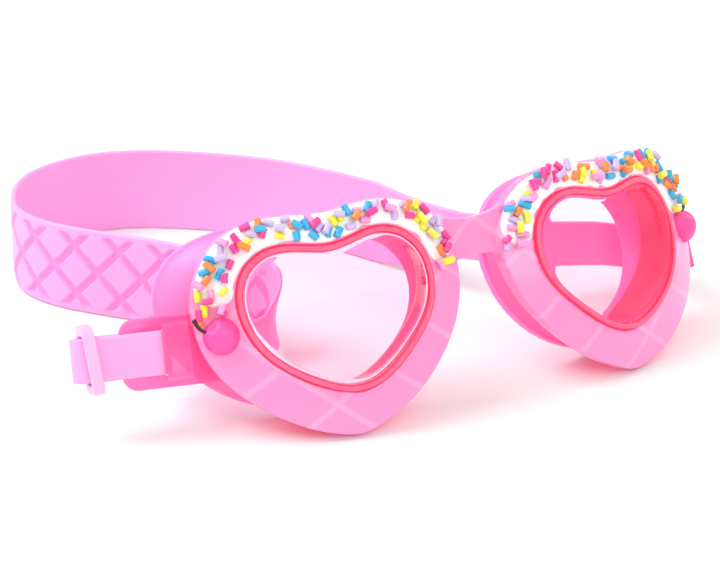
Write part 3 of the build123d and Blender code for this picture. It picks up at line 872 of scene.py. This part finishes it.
def build_strap():
    stations = strap_stations()
    path = np.array([s[0] for s in stations])
    ups = np.array([s[1] for s in stations])
    widths = np.array([[s[2]] for s in stations])
    along = np.concatenate([[0], np.cumsum(np.linalg.norm(np.diff(path, axis=0), axis=1))])
    step = 0.42
    at = np.linspace(0, along[-1], int(along[-1] / step))
    centre = open_spline(along, path, at)
    up = np.column_stack([np.interp(at, along, ups[:, i]) for i in range(3)])
    width = np.interp(at, along, widths[:, 0])
    way = np.gradient(centre, axis=0)
    way /= np.linalg.norm(way, axis=1)[:, None]
    normal = -np.cross(way, up)
    normal /= np.linalg.norm(normal, axis=1)[:, None]
    across = np.cross(way, normal)
    across *= np.sign(np.sum(across * up, axis=1))[:, None]

    wide_at = along[len(end_points()) + WIDE_FROM] - 3.0
    wide_to = along[len(end_points()) + WIDE_TO] + 6.0
    panel = STRAP_WIDTH / 2 - WAFFLE_EDGE
    count = STRAP_ACROSS
    shares = np.linspace(-1, 1, count)
    half = STRAP_THICKNESS / 2
    outer, inner, groove_shades = [], [], []
    for share in shares:
        w = share * width / 2
        inset = np.clip((1 - abs(share)) * width / 2, 0, STRAP_ROUND) / STRAP_ROUND
        round_off = half * (1 - np.sqrt(np.clip(1 - (1 - inset) ** 2, 0, 1)))
        run = np.clip(np.minimum(at - wide_at, wide_to - at), 0, panel)
        reach = panel * np.sqrt(np.clip(1 - (1 - run / panel) ** 2, 0, 1))
        inside = np.clip((reach - np.abs(w)) / PANEL_SLOPE, 0, 1)
        cut = np.zeros_like(at)
        for sign in (1, -1):
            line = (at + sign * w) / math.sqrt(2) / WAFFLE_SPACE
            off = np.abs(line - np.round(line)) * WAFFLE_SPACE
            cut = np.maximum(cut, np.clip((GROOVE_HALF - off) / GROOVE_SLOPE, 0, 1))
        cut = cut * cut * (3 - 2 * cut)
        sunk = inside * cut
        lift = WAFFLE_LIFT * inside * (1 - cut)
        raised = half - round_off + lift - WAFFLE_DEEP * sunk
        outer.append(centre + across * w[:, None] + normal * raised[:, None])
        inner.append(centre + across * w[:, None] - normal * (half - round_off)[:, None])
        groove_shades.append(sunk)
    rows = np.array(outer + inner[::-1])
    marks = np.array(groove_shades + [np.zeros_like(at)] * count)
    length = rows.shape[1]
    faces = grid_faces(2 * count, length, True, False, flip=True)
    for k, end in ((0, False), (length - 1, True)):
        for i in range(count - 1):
            quad = (i * length + k, (i + 1) * length + k,
                    (2 * count - 2 - i) * length + k, (2 * count - 1 - i) * length + k)
            faces.append(quad if end else quad[::-1])
    thing = make_object("waffle_strap", rows.reshape(-1, 3), faces)
    # This attribute carries painted shade: the strap's material darkens the waffle grooves by it.
    groove_shade = thing.data.attributes.new("groove_shade", "FLOAT", "POINT")
    groove_shade.data.foreach_set("value", marks.astype(np.float32).ravel())
    return thing


finish_piece(build_strap(), STRAP, "goggles", "strap_silicone", "head_strap")


# ---- floor, lights and camera -----------------------------------------------------------------
LIGHT_AIM = (0.0, 0.05, 0.02)
SOFTBOXES = (
    ("key", (-0.55, 0.35, 0.75), (0.6, 0.6), 6.5),
    ("front", (-0.1, -0.75, 0.6), (0.7, 0.5), 3.0),
    ("side", (0.7, 0.1, 0.5), (0.5, 0.5), 1.6),
)
WORLD_LIGHT = 0.72
CAMERA_PLACE = (-0.3095, -0.4858, 0.2630)
CAMERA_AIM = (-0.04046, 0.0, 0.0406)
CAMERA_LENS = 117.9
FLOOR_DROP = 0.0002          # the floor lies just under what rests on it


def add_floor():
    span = 3.0
    corners = [(-span, -span, 0), (span, -span, 0), (span, span, 0), (-span, span, 0)]
    mesh = bpy.data.meshes.new("studio_floor")
    mesh.from_pydata(corners, [], [(0, 1, 2, 3)])
    floor = bpy.data.objects.new("studio_floor", mesh)
    bpy.context.scene.collection.objects.link(floor)
    floor.location.z = cad_low.z - FLOOR_DROP
    look = Shader("studio_floor", "F3F8F5", 0.6)
    mesh.materials.append(look.material)


def add_softbox(name, place, size, power):
    data = bpy.data.lights.new(name, "AREA")
    data.shape = "RECTANGLE"
    data.size, data.size_y = size
    data.energy = power
    lamp = bpy.data.objects.new(name, data)
    bpy.context.scene.collection.objects.link(lamp)
    lamp.location = place
    lamp.rotation_euler = (Vector(LIGHT_AIM) - Vector(place)).to_track_quat("-Z", "Y").to_euler()


def add_camera():
    data = bpy.data.cameras.new("camera")
    data.sensor_width = 36.0
    data.lens = CAMERA_LENS
    data.clip_start = 0.01
    camera = bpy.data.objects.new("camera", data)
    bpy.context.scene.collection.objects.link(camera)
    camera.location = CAMERA_PLACE
    aim = Vector(CAMERA_AIM) - camera.location
    camera.rotation_euler = aim.to_track_quat("-Z", "Y").to_euler()
    bpy.context.scene.camera = camera


add_floor()
for softbox in SOFTBOXES:
    add_softbox(*softbox)
world = bpy.data.worlds.new("studio")
world.use_nodes = True
world.node_tree.nodes["Background"].inputs["Color"].default_value = (1, 1, 1, 1)
world.node_tree.nodes["Background"].inputs["Strength"].default_value = WORLD_LIGHT
bpy.context.scene.world = world
bpy.context.scene.view_settings.view_transform = "Standard"
add_camera()
